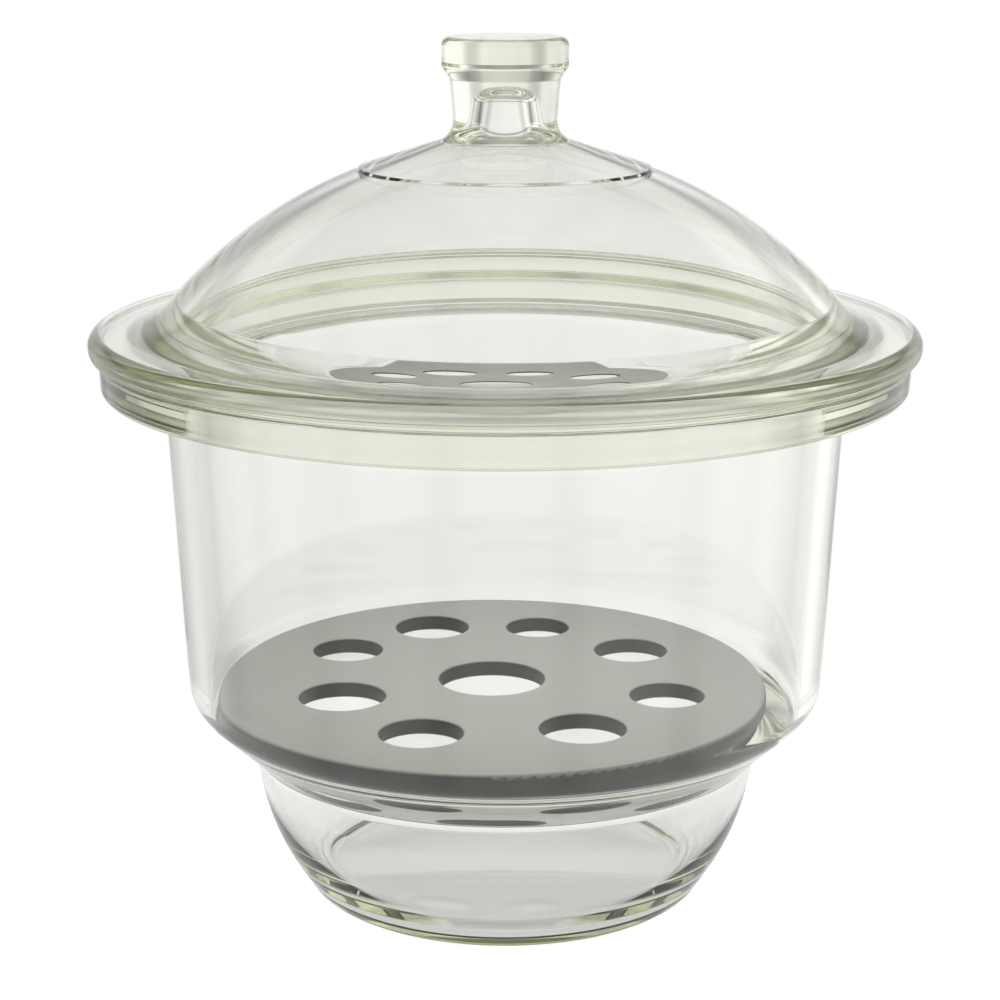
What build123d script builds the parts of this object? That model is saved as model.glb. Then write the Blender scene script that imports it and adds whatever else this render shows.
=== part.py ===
from build123d import *
import os

# A laboratory desiccator, nominal size 210 mm: a glass jar, a perforated porcelain
# plate that rests on the jar's ledge, and a domed glass lid with a hollow knob.
# Millimetres, +Z up. The origin is the centre of the face that the jar stands on.

# Driving dimensions
JOINT_Z = 187.0          # height of the ground joint between jar and lid
FLANGE_R = 134.6         # outer radius of the jar's flange
LID_R = 137.8            # outer radius of the lid's flange
MOUTH_R = 108.0          # radius of the jar's mouth
LID_MOUTH_R = 104.5      # radius of the lid's mouth
BASE_R = 67.6            # radius where the bowl's side would meet the table
PLATE_R = 94.7           # outer radius of the porcelain plate
PLATE_T = 5.5            # thickness of the porcelain plate
LID_H = 102.0            # height of the lid, ground face to the top of the knob

# Jar: the rounding of a corner is the radius of the arc that replaces it
LEDGE_Z = 65.5           # height of the ledge that the plate rests on
LEDGE_R = 86.0           # inner edge of the ledge
LEDGE_ROUND = 3.0        # rounding of that edge
LEDGE_CORNER = 4.5       # rounding between the ledge and the wall
FLOOR_T = 4.2            # thickness of the glass at the base
FLANGE_T = 11.0          # thickness of the jar's flange at its rim
FLANGE_LEAN = 0.6        # how far the flange's rim leans in towards its underside
FLANGE_DRAFT = 0.6       # fall of the flange's underside from rim to wall
FLANGE_LOW_ROUND = 2.0   # rounding of the rim's lower edge
FLANGE_TOP_ROUND = 0.9   # rounding of the rim's upper edge
MOUTH_ROUND = 1.6        # rounding of the jar's mouth
WALL_TOP_R = 113.4       # outer radius of the wall just below the flange
WALL_TOP_ROUND = 7.0     # rounding between the wall and the flange
WALL_LOW_R = 108.2       # outer radius of the wall just above the shoulder
WALL_T = 6.3             # thickness of the wall
SHOULDER_Z = 69.4        # height where the wall turns in to the shoulder
SHOULDER_ROUND = 11.0    # rounding of the shoulder
WAIST_R = 86.8           # outer radius of the waist under the shoulder
WAIST_Z = 49.4           # height of the waist
WAIST_ROUND = 7.0        # rounding of the waist
BOWL_R = 82.3            # where the bowl's two outer tangents meet, outwards
BOWL_Z = 23.0            # and upwards
BOWL_CURVE = 80.0        # rounding of the bowl's outer side
BASE_ROUND = 5.0         # rounding of the base's outer edge
BOWL_INNER_R = 79.0      # where the bowl's two inner tangents meet, outwards
BOWL_INNER_Z = 24.0      # and upwards
BOWL_INNER_CURVE = 60.0  # rounding of the bowl's inner side
BOTTOM_R = 63.6          # where the inner side would meet the bowl's floor
BOTTOM_ROUND = 11.0      # rounding between the inner side and the floor

# Lid, with heights measured from the ground joint
LID_FLANGE_T = 8.6       # thickness of the lid's flange
LID_TOP_ROUND = 4.4      # rounding of the rim's upper edge
LID_LOW_ROUND = 3.6      # rounding of the rim's lower edge
LID_MOUTH_ROUND = 1.0    # rounding of the lid's mouth, at both ends of its short wall
LID_MOUTH_LEAN = 0.3     # how far that wall leans in over its height
LID_MOUTH_Z = 13.2       # height of that wall
FOOT_R = 118.6           # where the dome's outer side would meet the flange
FOOT_ROUND = 18.0        # rounding between the dome and the flange
DOME_R = 83.2            # where the dome's two outer tangents meet, outwards
DOME_Z = 45.6            # and upwards
DOME_CURVE = 160.0       # rounding of the dome's outer side
DOME_INNER_R = 79.4      # where the dome's two inner tangents meet, outwards
DOME_INNER_Z = 41.4      # and upwards
DOME_INNER_CURVE = 145.0 # rounding of the dome's inner side
SKIRT_R = 48.0           # radius of the skirt that joins the knob to the dome
SKIRT_Z = 60.1           # height of the skirt's outer edge
SKIRT_ROUND = 0.4        # rounding of that edge
STEP_R = 48.8            # where the step down from the skirt meets the dome, outwards
STEP_Z = 59.1            # and upwards
STEP_ROUND = 0.8         # rounding at the step's foot
NECK_LOW_R = 16.6        # radius of the knob's neck at its foot
NECK_LOW_Z = 70.2        # height of the neck's foot
NECK_LOW_ROUND = 7.0     # rounding of the neck's foot
NECK_TOP_R = 18.2        # radius of the neck under the head
NECK_TOP_Z = 88.6        # height of the neck's top
NECK_TOP_ROUND = 0.8     # rounding under the head
HEAD_R = 20.8            # radius of the knob's head
HEAD_Z = 92.6            # height of the head's lower edge
HEAD_LOW_ROUND = 1.6     # rounding of the head's lower edge
HEAD_TOP_ROUND = 2.8     # rounding of the head's upper edge
BORE_TOP_R = 6.6       # radius of the hollow in the knob at its closed end
BORE_TOP_Z = 86.4        # height of the closed end at that radius
BORE_CROWN_Z = 87.0      # height of the closed end on the axis
BORE_TOP_ROUND = 5.6     # rounding of the closed end
BORE_LOW_R = 8.8         # radius of the hollow where it opens into the dome
BORE_LOW_Z = 70.4        # height where it opens into the dome
BORE_LOW_ROUND = 7.0     # rounding where it opens into the dome

# Plate
PLATE_OFFSET = -4.5      # the plate lies loose, this far off the jar's axis along X
PLATE_EDGE = 1.5         # rounding of the plate's outer edges
HOLE_EDGE = 0.8          # rounding of the holes' edges
CENTRE_HOLE_R = 18.2     # radius of the hole in the middle

# The holes round it are a little uneven: distance from the plate's centre,
# direction in degrees from +X, and radius of each.
RING_HOLES = [
    (59.0, 32.0, 13.0),
    (61.0, 74.0, 11.5),
    (63.0, 111.0, 13.5),
    (61.0, 149.0, 12.5),
    (54.0, 201.0, 14.5),
    (60.0, 248.0, 13.5),
    (59.0, 300.0, 14.0),
    (62.0, 343.0, 12.5),
]

# Jar: flat base, rounded bowl, shoulder with an inner ledge, tapered wall and flange.
jar_outside = [
    (0.0, 0.0, 0.0),
    (BASE_R, 0.0, BASE_ROUND),
    (BOWL_R, BOWL_Z, BOWL_CURVE),
    (WAIST_R, WAIST_Z, WAIST_ROUND),
    (WALL_LOW_R, SHOULDER_Z, SHOULDER_ROUND),
    (WALL_TOP_R, JOINT_Z - FLANGE_T - FLANGE_DRAFT, WALL_TOP_ROUND),
    (FLANGE_R - FLANGE_LEAN, JOINT_Z - FLANGE_T, FLANGE_LOW_ROUND),
    (FLANGE_R, JOINT_Z, FLANGE_TOP_ROUND),
]
jar_inside = [
    (MOUTH_R, JOINT_Z, MOUTH_ROUND),
    (WALL_LOW_R - WALL_T, LEDGE_Z, LEDGE_CORNER),
    (LEDGE_R, LEDGE_Z, LEDGE_ROUND),
    (BOWL_INNER_R, BOWL_INNER_Z, BOWL_INNER_CURVE),
    (BOTTOM_R, FLOOR_T, BOTTOM_ROUND),
    (0.0, FLOOR_T, 0.0),
]
with BuildPart() as jar:
    with BuildSketch(Plane.XZ):
        with BuildLine():
            section = jar_outside + jar_inside
            places = [(radius, height) for radius, height, rounding in section]
            roundings = [rounding for radius, height, rounding in section]
            FilletPolyline(*places, radius=roundings, close=True)
        make_face()
    revolve(axis=Axis.Z)
jar.part.label = "jar"

# Lid: ground flange, dome, and a knob whose hollow opens into the dome.
lid_outside = [
    (0.0, LID_H, 0.0),
    (HEAD_R, LID_H, HEAD_TOP_ROUND),
    (HEAD_R, HEAD_Z, HEAD_LOW_ROUND),
    (NECK_TOP_R, NECK_TOP_Z, NECK_TOP_ROUND),
    (NECK_LOW_R, NECK_LOW_Z, NECK_LOW_ROUND),
    (SKIRT_R, SKIRT_Z, SKIRT_ROUND),
    (STEP_R, STEP_Z, STEP_ROUND),
    (DOME_R, DOME_Z, DOME_CURVE),
    (FOOT_R, LID_FLANGE_T, FOOT_ROUND),
    (LID_R, LID_FLANGE_T, LID_TOP_ROUND),
    (LID_R, 0.0, LID_LOW_ROUND),
]
lid_inside = [
    (LID_MOUTH_R, 0.0, LID_MOUTH_ROUND),
    (LID_MOUTH_R - LID_MOUTH_LEAN, LID_MOUTH_Z, LID_MOUTH_ROUND),
    (DOME_INNER_R, DOME_INNER_Z, DOME_INNER_CURVE),
    (BORE_LOW_R, BORE_LOW_Z, BORE_LOW_ROUND),
    (BORE_TOP_R, BORE_TOP_Z, BORE_TOP_ROUND),
    (0.0, BORE_CROWN_Z, 0.0),
]
with BuildPart() as lid:
    with BuildSketch(Plane.XZ):
        with BuildLine():
            section = lid_outside + lid_inside
            places = [(radius, JOINT_Z + height) for radius, height, rounding in section]
            roundings = [rounding for radius, height, rounding in section]
            FilletPolyline(*places, radius=roundings, close=True)
        make_face()
    revolve(axis=Axis.Z)
lid.part.label = "lid"

# Plate: a porcelain disc with a ring of holes round a larger one in the middle.
plate_plane = Plane.XY.offset(LEDGE_Z).move(Location((PLATE_OFFSET, 0, 0)))
with BuildPart() as plate:
    with BuildSketch(plate_plane):
        Circle(PLATE_R)
    extrude(amount=PLATE_T)
    rim = plate.edges().filter_by(GeomType.CIRCLE)
    fillet(rim, radius=PLATE_EDGE)
    with BuildSketch(plate_plane):
        Circle(CENTRE_HOLE_R)
        for distance, direction, hole_r in RING_HOLES:
            with PolarLocations(distance, 1, start_angle=direction):
                Circle(hole_r)
    extrude(amount=PLATE_T, mode=Mode.SUBTRACT)
    hole_edges = plate.edges().filter_by(GeomType.CIRCLE).filter_by(
        lambda edge: edge.radius <= CENTRE_HOLE_R
    )
    fillet(hole_edges, radius=HOLE_EDGE)
plate.part.label = "plate"

os.makedirs("parts", exist_ok=True)
export_step(jar.part, "parts/jar.step")
export_step(lid.part, "parts/lid.step")
export_step(plate.part, "parts/plate.step")
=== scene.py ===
import math

import bpy
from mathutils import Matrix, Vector


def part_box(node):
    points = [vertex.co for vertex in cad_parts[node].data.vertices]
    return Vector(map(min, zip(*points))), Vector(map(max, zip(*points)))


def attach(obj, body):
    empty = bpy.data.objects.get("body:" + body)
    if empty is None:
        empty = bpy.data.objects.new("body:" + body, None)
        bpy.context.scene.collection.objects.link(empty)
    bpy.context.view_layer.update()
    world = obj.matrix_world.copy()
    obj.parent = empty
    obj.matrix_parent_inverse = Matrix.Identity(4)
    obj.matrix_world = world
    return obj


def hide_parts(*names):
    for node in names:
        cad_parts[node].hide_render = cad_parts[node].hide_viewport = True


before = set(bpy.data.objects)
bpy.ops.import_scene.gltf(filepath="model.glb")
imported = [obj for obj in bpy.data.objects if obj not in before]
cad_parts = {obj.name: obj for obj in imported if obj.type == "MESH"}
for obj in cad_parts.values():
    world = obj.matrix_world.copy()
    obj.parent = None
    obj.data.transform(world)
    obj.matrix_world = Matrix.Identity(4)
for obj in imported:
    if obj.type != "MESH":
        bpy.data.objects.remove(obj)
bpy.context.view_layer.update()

# A glass desiccator. The jar and the lid are turned here from their profiles, and the
# porcelain plate keeps its CAD mesh. Profiles are in millimetres, the rest is in metres.
MM = 0.001
JOINT_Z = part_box("jar")[1].z / MM    # height of the ground joint between jar and lid
LEDGE_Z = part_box("plate")[0].z / MM  # height of the ledge that the plate rests on
JOINT_GAP = 0.04         # the jar's ground face is drawn this far below the lid's

# How finely the turned pieces are divided
TURN_STEPS = 288         # faces round the axis
LINE_STEP = 4.0          # longest stretch between rings
ARC_STEP = math.radians(5.0)
MIN_ARC_STEPS = 2
ON_AXIS = 1e-6           # a point nearer to the axis than this is a pole
FULL_TURN = 2 * math.pi

# Ground rings at the joint: inner and outer radius
JAR_GROUND = (108.5, 124.0)
LID_GROUND = (105.0, 124.0)
GROUND_FLAT = 0.02       # a point nearer to the ground face's height than this is on it

# Glass
GLASS_WHITE = (1.0, 1.0, 1.0, 1.0)
GLASS_IOR = 1.51
GLASS_TINT = (0.70, 0.74, 0.46, 1.0)
GLASS_TINT_DENSITY = 13.0
GROUND_ROUGHNESS = 0.10
GROUND_CLARITY = 0.75    # the rest of a ground face is milky
WAVE_SCALE = 14.0
WAVE_STRENGTH = 0.25
WAVE_DEPTH = 0.0006

# Porcelain: two clouded tones on the faces, and painted shade in near black on the upright
# edges and hole walls
TONE_A = (0.60, 0.59, 0.565, 1.0)
TONE_B = (0.66, 0.65, 0.625, 1.0)
CLOUD_SCALE = 25.0
CLOUD_DETAIL = 4.0
# Painted shade: a near-black colour on the upright sides and hole walls stands in for the
# shade there
PAINTED_SHADE_TONE = (0.050, 0.047, 0.040, 1.0)
ALL_SHADE_LEVEL = 0.45        # a surface this level or less is all painted shade
NO_SHADE_LEVEL = 0.95        # a surface this level or more has no painted shade
PORCELAIN_ROUGHNESS = 0.45

# Floor: a small matt disc that glows faintly, as a lit table does
FLOOR_R = 0.26
FLOOR_SIDES = 128
FLOOR_DROP = 0.0002      # it lies this far below the jar
FLOOR_TONE = (0.30, 0.30, 0.30, 1.0)
FLOOR_LIGHT = (1.0, 1.0, 1.0, 1.0)
FLOOR_GLOW = 0.54        # as the glass sees it
GLOW_FOR_EYE = 0.38      # added where the camera sees it
GLOW_FOR_MATT = 0.45     # added where it lights a matt surface

# Studio: levels of white as ramps of (place, level) stops
STRIP_COUNT = 8.0
STRIPS = [(0.0, 0.68), (0.10, 0.76), (0.30, 1.0), (1.0, 1.0)]
CEILING = [
    (0.0, 0.78), (0.30, 0.86), (0.53, 0.97), (0.61, 0.92), (0.65, 0.30),
    (0.69, 0.95), (0.765, 0.95), (0.80, 0.52), (0.88, 0.45), (1.0, 0.65),
]
SIDE = [(0.0, 0.92), (0.40, 0.97), (0.60, 1.05), (1.0, 1.45)]
BACK_LIGHT = [(0.0, 0.0), (0.45, 0.12), (1.0, 1.0)]
BACK_GAIN = 1.75
FRONT_FILL = 0.11
TOP_LIGHT = [(0.5, 0.3), (0.70, 1.3), (1.0, 3.0)]
WHITE = (1.0, 1.0, 1.0, 1.0)

# Camera
LENS = 86.85
SENSOR = 36.0
CAMERA_PLACE = (-0.0017, -0.79499, 0.33696)
CAMERA_TILT = 14.334     # degrees below the horizon

# Light paths through several thick walls need many bounces
CLEAR_BOUNCES = 40
GLOSSY_BOUNCES = 12

# Profiles as (radius, height, rounding) corners, from the axis back to the axis
JAR_CORNERS = [
    (0.0, 0.0, 0.0),                     # base, middle
    (67.6, 0.0, 5.0),                    # base, edge
    (82.3, 23.0, 80.0),                  # bowl
    (86.8, 49.4, 7.0),                   # waist
    (108.2, 69.4, 11.0),                 # shoulder
    (113.4, JOINT_Z - 11.6, 7.0),        # wall meets flange
    (134.0, JOINT_Z - 11.0, 2.0),        # flange, lower edge
    (134.6, JOINT_Z - JOINT_GAP, 0.9),   # flange, upper edge
    (108.0, JOINT_Z - JOINT_GAP, 1.6),   # mouth
    (101.9, LEDGE_Z, 4.5),               # wall meets ledge
    (86.0, LEDGE_Z, 3.0),                # ledge, inner edge
    (79.0, 24.0, 60.0),                  # bowl, inside
    (63.6, 4.2, 11.0),                   # bowl's floor, edge
    (0.0, 4.2, 0.0),                     # bowl's floor, middle
]
LID_CORNERS = [
    (0.0, JOINT_Z + 87.0, 0.0),          # hollow in the knob, crown
    (6.6, JOINT_Z + 86.4, 5.6),          # hollow, closed end
    (8.8, JOINT_Z + 70.4, 7.0),          # hollow opens into the dome
    (79.4, JOINT_Z + 41.4, 145.0),       # dome, inside
    (104.2, JOINT_Z + 13.2, 1.0),        # mouth, upper edge
    (104.5, JOINT_Z, 1.0),               # mouth, lower edge
    (137.8, JOINT_Z, 3.6),               # flange, lower edge
    (137.8, JOINT_Z + 8.6, 4.4),         # flange, upper edge
    (118.6, JOINT_Z + 8.6, 18.0),        # dome's foot
    (83.2, JOINT_Z + 45.6, 160.0),       # dome
    (48.8, JOINT_Z + 59.1, 0.8),         # step below the skirt
    (48.0, JOINT_Z + 60.1, 0.4),         # skirt's edge
    (16.6, JOINT_Z + 70.2, 7.0),         # neck's foot
    (18.2, JOINT_Z + 88.6, 0.8),         # neck's top
    (20.8, JOINT_Z + 92.6, 1.6),         # head, lower edge
    (20.8, JOINT_Z + 102.0, 2.8),        # head, upper edge
    (0.0, JOINT_Z + 102.0, 0.0),         # head, middle
]


# ---------------------------------------------------------------- turned pieces

def corner_arc(back_place, corner, ahead_place):
    """Points and outward normals along the rounding of one corner of a profile."""
    place, rounding = Vector(corner[:2]), corner[2]
    back, ahead = Vector(back_place) - place, Vector(ahead_place) - place
    convex = back.x * ahead.y - back.y * ahead.x < 0
    back.normalize()
    ahead.normalize()
    half = back.angle(ahead) / 2
    start = place + back * (rounding / math.tan(half))
    end = place + ahead * (rounding / math.tan(half))
    centre = place + (back + ahead).normalized() * (rounding / math.sin(half))
    first = math.atan2(start.y - centre.y, start.x - centre.x)
    last = math.atan2(end.y - centre.y, end.x - centre.x)
    sweep = (last - first + math.pi) % FULL_TURN - math.pi
    by_angle = math.ceil(abs(sweep) / ARC_STEP)
    by_length = math.ceil(abs(sweep) * rounding / LINE_STEP)
    steps = max(MIN_ARC_STEPS, by_angle, by_length)
    arc = []
    for k in range(steps + 1):
        angle = first + sweep * k / steps
        radial = Vector((math.cos(angle), math.sin(angle)))
        arc.append((centre + radial * rounding, radial if convex else -radial))
    return arc


def profile_ring(corners):
    """Points and outward normals along a whole profile.

    The solid lies on the profile's left. A rounding is an arc tangent to the two
    straight runs that meet at its corner. The two ends on the axis have no normal.
    """
    places = [corner[:2] for corner in corners]
    arcs = [[(Vector(places[0]), None)]]
    for i in range(1, len(corners) - 1):
        arcs.append(corner_arc(places[i - 1], corners[i], places[i + 1]))
    arcs.append([(Vector(places[-1]), None)])
    ring = list(arcs[0])
    for before, after in zip(arcs[:-1], arcs[1:]):
        start = before[-1][0]
        run = after[0][0] - start
        steps = math.ceil(run.length / LINE_STEP)
        normal = Vector((run.y, -run.x)).normalized()
        ring += [(start + run * k / steps, normal) for k in range(1, steps)]
        ring += after
    return ring


def turned(name, corners):
    """A piece made by turning a profile about the Z axis, with exact normals."""
    verts, normals, rows = [], [], []
    for place, normal in profile_ring(corners):
        row = []
        for k in range(TURN_STEPS if place.x > ON_AXIS else 1):
            angle = FULL_TURN * k / TURN_STEPS
            c, s = math.cos(angle), math.sin(angle)
            row.append(len(verts))
            verts.append((place.x * MM * c, place.x * MM * s, place.y * MM))
            normals.append((normal.x * c, normal.x * s, normal.y) if normal else (0, 0, 0))
        rows.append(row)
    faces = []
    for a, b in zip(rows[:-1], rows[1:]):
        for k in range(TURN_STEPS):
            j = (k + 1) % TURN_STEPS
            if len(a) == 1:
                faces.append((a[0], b[j], b[k]))
            elif len(b) == 1:
                faces.append((a[k], a[j], b[0]))
            else:
                faces.append((a[k], a[j], b[j], b[k]))
    mesh = bpy.data.meshes.new(name)
    mesh.from_pydata(verts, [], faces)
    mesh.shade_smooth()
    mesh.normals_split_custom_set_from_vertices(normals)
    piece = bpy.data.objects.new(name, mesh)
    bpy.context.scene.collection.objects.link(piece)
    return piece


def mark_ground(piece, height, span):
    """Stores 1 in the attribute ground on the flat ring at height, and 0 elsewhere."""
    inner, outer = span
    mark = piece.data.attributes.new("ground", "FLOAT", "POINT")
    for vert, value in zip(piece.data.vertices, mark.data):
        radius = math.hypot(vert.co.x, vert.co.y) / MM
        flat = abs(vert.co.z / MM - height) < GROUND_FLAT
        value.value = 1.0 if flat and inner < radius < outer else 0.0


# ---------------------------------------------------------------- materials

def ramp_node(nodes, links, source, stops):
    """A grey ramp over (place, level) stops, read at source."""
    node = nodes.new("ShaderNodeValToRGB")
    links.new(source, node.inputs["Fac"])
    points = node.color_ramp.elements
    points[0].position, points[1].position = stops[0][0], stops[-1][0]
    for place, _ in stops[1:-1]:
        points.new(place)
    for point, (_, level) in zip(points, stops):
        point.color = (level, level, level, 1.0)
    return node.outputs["Color"]


def math_node(nodes, links, operation, *sources):
    """A math node whose inputs are other nodes' outputs or plain floats."""
    node = nodes.new("ShaderNodeMath")
    node.operation = operation
    for socket, source in zip(node.inputs, sources):
        if isinstance(source, float):
            socket.default_value = source
        else:
            links.new(source, socket)
    return node.outputs["Value"]


def new_material(name):
    material = bpy.data.materials.new(name)
    material.use_nodes = True
    nodes, links = material.node_tree.nodes, material.node_tree.links
    return material, nodes, links, nodes["Principled BSDF"]


def glass():
    """Clear, faintly green, slightly wavy glass, rough and milky on the ground rings."""
    material, nodes, links, shader = new_material("glass")
    shader.inputs["Base Color"].default_value = GLASS_WHITE
    shader.inputs["IOR"].default_value = GLASS_IOR
    ground = nodes.new("ShaderNodeAttribute")
    ground.attribute_name = "ground"
    for socket, clear_value, ground_value in (
        ("Roughness", 0.0, GROUND_ROUGHNESS),
        ("Transmission Weight", 1.0, GROUND_CLARITY),
    ):
        blend = nodes.new("ShaderNodeMapRange")
        blend.inputs["To Min"].default_value = clear_value
        blend.inputs["To Max"].default_value = ground_value
        links.new(ground.outputs["Fac"], blend.inputs["Value"])
        links.new(blend.outputs["Result"], shader.inputs[socket])
    tint = nodes.new("ShaderNodeVolumeAbsorption")
    tint.inputs["Color"].default_value = GLASS_TINT
    tint.inputs["Density"].default_value = GLASS_TINT_DENSITY
    links.new(tint.outputs["Volume"], nodes["Material Output"].inputs["Volume"])
    coords = nodes.new("ShaderNodeTexCoord")
    waves = nodes.new("ShaderNodeTexNoise")
    waves.inputs["Scale"].default_value = WAVE_SCALE
    waves.inputs["Detail"].default_value = 0.0
    links.new(coords.outputs["Object"], waves.inputs["Vector"])
    bump = nodes.new("ShaderNodeBump")
    bump.inputs["Strength"].default_value = WAVE_STRENGTH
    bump.inputs["Distance"].default_value = WAVE_DEPTH
    links.new(waves.outputs["Fac"], bump.inputs["Height"])
    links.new(bump.outputs["Normal"], shader.inputs["Normal"])
    return material


def porcelain():
    """Clouded grey porcelain on level faces, with painted shade in near black where the
    surface turns upright.
    """
    material, nodes, links, shader = new_material("porcelain")
    coords = nodes.new("ShaderNodeTexCoord")
    clouds = nodes.new("ShaderNodeTexNoise")
    clouds.inputs["Scale"].default_value = CLOUD_SCALE
    clouds.inputs["Detail"].default_value = CLOUD_DETAIL
    links.new(coords.outputs["Object"], clouds.inputs["Vector"])
    tone = nodes.new("ShaderNodeMix")
    tone.data_type = "RGBA"
    tone.inputs["A"].default_value = TONE_A
    tone.inputs["B"].default_value = TONE_B
    links.new(clouds.outputs["Fac"], tone.inputs["Factor"])
    # Painted shade: the more upright the surface, the nearer its colour comes to the
    # near-black shade tone
    geometry = nodes.new("ShaderNodeNewGeometry")
    split = nodes.new("ShaderNodeSeparateXYZ")
    links.new(geometry.outputs["Normal"], split.inputs["Vector"])
    level = math_node(nodes, links, "ABSOLUTE", split.outputs["Z"])
    unshaded = nodes.new("ShaderNodeMapRange")
    unshaded.inputs["From Min"].default_value = ALL_SHADE_LEVEL
    unshaded.inputs["From Max"].default_value = NO_SHADE_LEVEL
    links.new(level, unshaded.inputs["Value"])
    shaded_colour = nodes.new("ShaderNodeMix")
    shaded_colour.data_type = "RGBA"
    shaded_colour.inputs["A"].default_value = PAINTED_SHADE_TONE
    links.new(unshaded.outputs["Result"], shaded_colour.inputs["Factor"])
    links.new(tone.outputs["Result"], shaded_colour.inputs["B"])
    links.new(shaded_colour.outputs["Result"], shader.inputs["Base Color"])
    shader.inputs["Roughness"].default_value = PORCELAIN_ROUGHNESS
    return material


def floor_material():
    """A matt floor whose glow depends on whether glass, eye or a matt surface sees it."""
    material, nodes, links, shader = new_material("floor")
    shader.inputs["Roughness"].default_value = 1.0
    shader.inputs["Specular IOR Level"].default_value = 0.0
    shader.inputs["Base Color"].default_value = FLOOR_TONE
    shader.inputs["Emission Color"].default_value = FLOOR_LIGHT
    path = nodes.new("ShaderNodeLightPath")
    seen = path.outputs["Is Camera Ray"]
    scattered = math_node(nodes, links, "MINIMUM", path.outputs["Diffuse Depth"], 1.0)
    glow = math_node(nodes, links, "MULTIPLY_ADD", seen, GLOW_FOR_EYE, FLOOR_GLOW)
    glow = math_node(nodes, links, "MULTIPLY_ADD", scattered, GLOW_FOR_MATT, glow)
    links.new(glow, shader.inputs["Emission Strength"])
    return material


# ---------------------------------------------------------------- studio

def studio_world():
    """White to the eye, with one pattern of light for glass and another for matt surfaces.

    Glass sees dimmer strips round the horizon, a dim band above it and a brighter right
    side. Matt surfaces are lit from above and behind.
    """
    world = bpy.data.worlds.new("studio")
    bpy.context.scene.world = world
    world.use_nodes = True
    nodes, links = world.node_tree.nodes, world.node_tree.links
    coords = nodes.new("ShaderNodeTexCoord")
    split = nodes.new("ShaderNodeSeparateXYZ")
    links.new(coords.outputs["Generated"], split.inputs["Vector"])
    x, y, z = (split.outputs[axis] for axis in "XYZ")
    across = math_node(nodes, links, "MULTIPLY_ADD", x, 0.5, 0.5)
    along = math_node(nodes, links, "MULTIPLY_ADD", y, 0.5, 0.5)
    up = math_node(nodes, links, "MULTIPLY_ADD", z, 0.5, 0.5)

    azimuth = math_node(nodes, links, "ARCTAN2", y, x)
    phase = math_node(nodes, links, "MULTIPLY", azimuth, STRIP_COUNT)
    wave = math_node(nodes, links, "COSINE", phase)
    wave = math_node(nodes, links, "MULTIPLY_ADD", wave, 0.5, 0.5)
    strips = ramp_node(nodes, links, wave, STRIPS)
    ceiling = ramp_node(nodes, links, up, CEILING)
    side = ramp_node(nodes, links, across, SIDE)
    for_glass = math_node(nodes, links, "MULTIPLY", strips, ceiling)
    for_glass = math_node(nodes, links, "MULTIPLY", for_glass, side)

    back_light = ramp_node(nodes, links, along, BACK_LIGHT)
    top_light = ramp_node(nodes, links, up, TOP_LIGHT)
    for_matt = math_node(nodes, links, "MULTIPLY_ADD", back_light, BACK_GAIN, FRONT_FILL)
    for_matt = math_node(nodes, links, "MULTIPLY", for_matt, top_light)

    path = nodes.new("ShaderNodeLightPath")
    scattered = math_node(nodes, links, "MINIMUM", path.outputs["Diffuse Depth"], 1.0)
    pick = nodes.new("ShaderNodeMix")
    links.new(scattered, pick.inputs["Factor"])
    links.new(for_glass, pick.inputs["A"])
    links.new(for_matt, pick.inputs["B"])
    level = nodes.new("ShaderNodeMix")
    links.new(path.outputs["Is Camera Ray"], level.inputs["Factor"])
    links.new(pick.outputs["Result"], level.inputs["A"])
    level.inputs["B"].default_value = 1.0
    links.new(level.outputs["Result"], nodes["Background"].inputs["Strength"])
    nodes["Background"].inputs["Color"].default_value = WHITE
    world.cycles.sampling_method = "NONE"


def floor():
    bpy.ops.mesh.primitive_circle_add(
        vertices=FLOOR_SIDES, radius=FLOOR_R, fill_type="NGON", location=(0, 0, -FLOOR_DROP)
    )
    disc = bpy.context.object
    disc.name = "floor"
    disc.data.materials.append(floor_material())


def camera():
    data = bpy.data.cameras.new("camera")
    data.lens = LENS
    data.sensor_width = SENSOR
    view = bpy.data.objects.new("camera", data)
    view.location = CAMERA_PLACE
    view.rotation_euler = (math.radians(90 - CAMERA_TILT), 0, 0)
    bpy.context.scene.collection.objects.link(view)
    bpy.context.scene.camera = view


# ---------------------------------------------------------------- the scene

jar = turned("jar_glass", JAR_CORNERS)
lid = turned("lid_glass", LID_CORNERS)
mark_ground(jar, JOINT_Z - JOINT_GAP, JAR_GROUND)
mark_ground(lid, JOINT_Z, LID_GROUND)
clear = glass()
for piece, node in ((jar, "jar"), (lid, "lid")):
    piece.data.materials.append(clear)
    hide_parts(node)
    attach(piece, node)

ceramic = porcelain()
for material_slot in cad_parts["plate"].material_slots:
    material_slot.material = ceramic

studio_world()
floor()
camera()

scene = bpy.context.scene
scene.view_settings.view_transform = "Standard"
scene.cycles.max_bounces = CLEAR_BOUNCES
scene.cycles.transmission_bounces = CLEAR_BOUNCES
scene.cycles.glossy_bounces = GLOSSY_BOUNCES
scene.cycles.use_denoising = True
